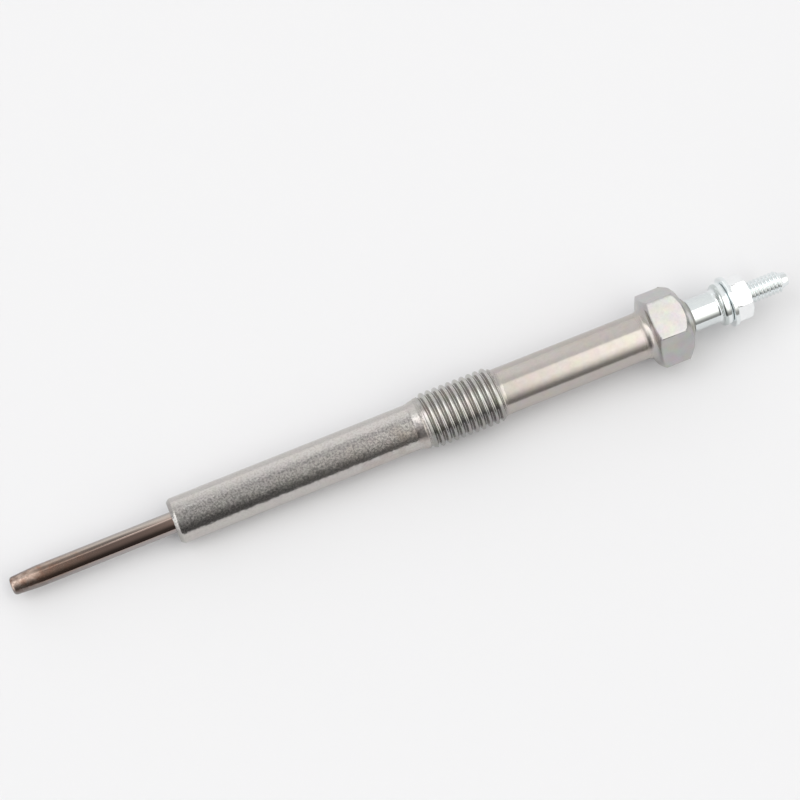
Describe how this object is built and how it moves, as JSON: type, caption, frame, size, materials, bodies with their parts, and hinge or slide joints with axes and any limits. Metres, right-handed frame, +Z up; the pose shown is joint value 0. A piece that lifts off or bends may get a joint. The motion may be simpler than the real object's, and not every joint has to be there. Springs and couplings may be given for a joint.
{
  "type": "diesel glow plug",
  "caption": "Slim metal glow plug for a diesel engine: dark heater tip, threaded steel barrel with a hexagon, and a terminal stud with washer and nut.",
  "frame": {"origin": "on the surface that the plug lies on, under the middle of its length", "axes": "+X from the heater tip to the terminal, +Z up; the plug's axis climbs towards the terminal by the angle at which its hexagon and nose rim rest"},
  "size_m": [0.1418, 0.0138, 0.0121],
  "materials": {
    "satin_nickel": "satin nickel plate",
    "oxidised_sheath": "polished, heat tinted",
    "resistance_wire": "drawn wire",
    "magnesia": "pressed powder",
    "elastomer": "matte",
    "plain_steel": "drawn",
    "moulded_insulator": "moulded",
    "bright_zinc": "bright zinc plate"
  },
  "bodies": {
    "root": {"housing": "satin_nickel", "heater_sheath": "oxidised_sheath", "heating_coil": "resistance_wire", "control_coil": "resistance_wire", "insulating_powder": "magnesia", "sheath_seal": "elastomer", "center_rod": "plain_steel", "o_ring": "elastomer", "insulating_bush": "moulded_insulator", "terminal_stud": "bright_zinc", "washer": "bright_zinc", "terminal_nut": "bright_zinc"}
  },
  "joints": []
}
